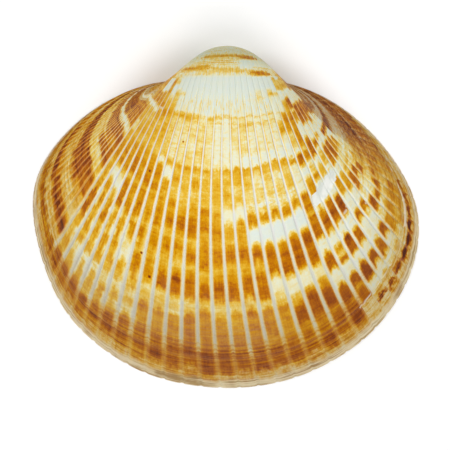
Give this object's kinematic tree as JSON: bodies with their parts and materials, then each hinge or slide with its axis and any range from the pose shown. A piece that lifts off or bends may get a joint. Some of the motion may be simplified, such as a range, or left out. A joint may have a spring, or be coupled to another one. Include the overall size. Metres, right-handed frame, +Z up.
{
  "type": "cockle shell",
  "caption": "Domed, radially ribbed cockle valve with scalloped margin, curled beak, toothed hinge plate and open hollow underside.",
  "frame": {"origin": "centre of the bounding box in X and Y, on the flat plane of the margin that the valve rests on", "axes": "+X along the hinge line towards the hind end, +Y from the belly towards the beak, +Z up out of the convex back"},
  "size_m": [0.06, 0.053, 0.0183],
  "materials": {
    "shell": "glossy natural shell, white with yellow-ochre, orange-brown and red-brown marks on the ribs"
  },
  "bodies": {
    "root": {"valve": "shell"}
  },
  "joints": []
}
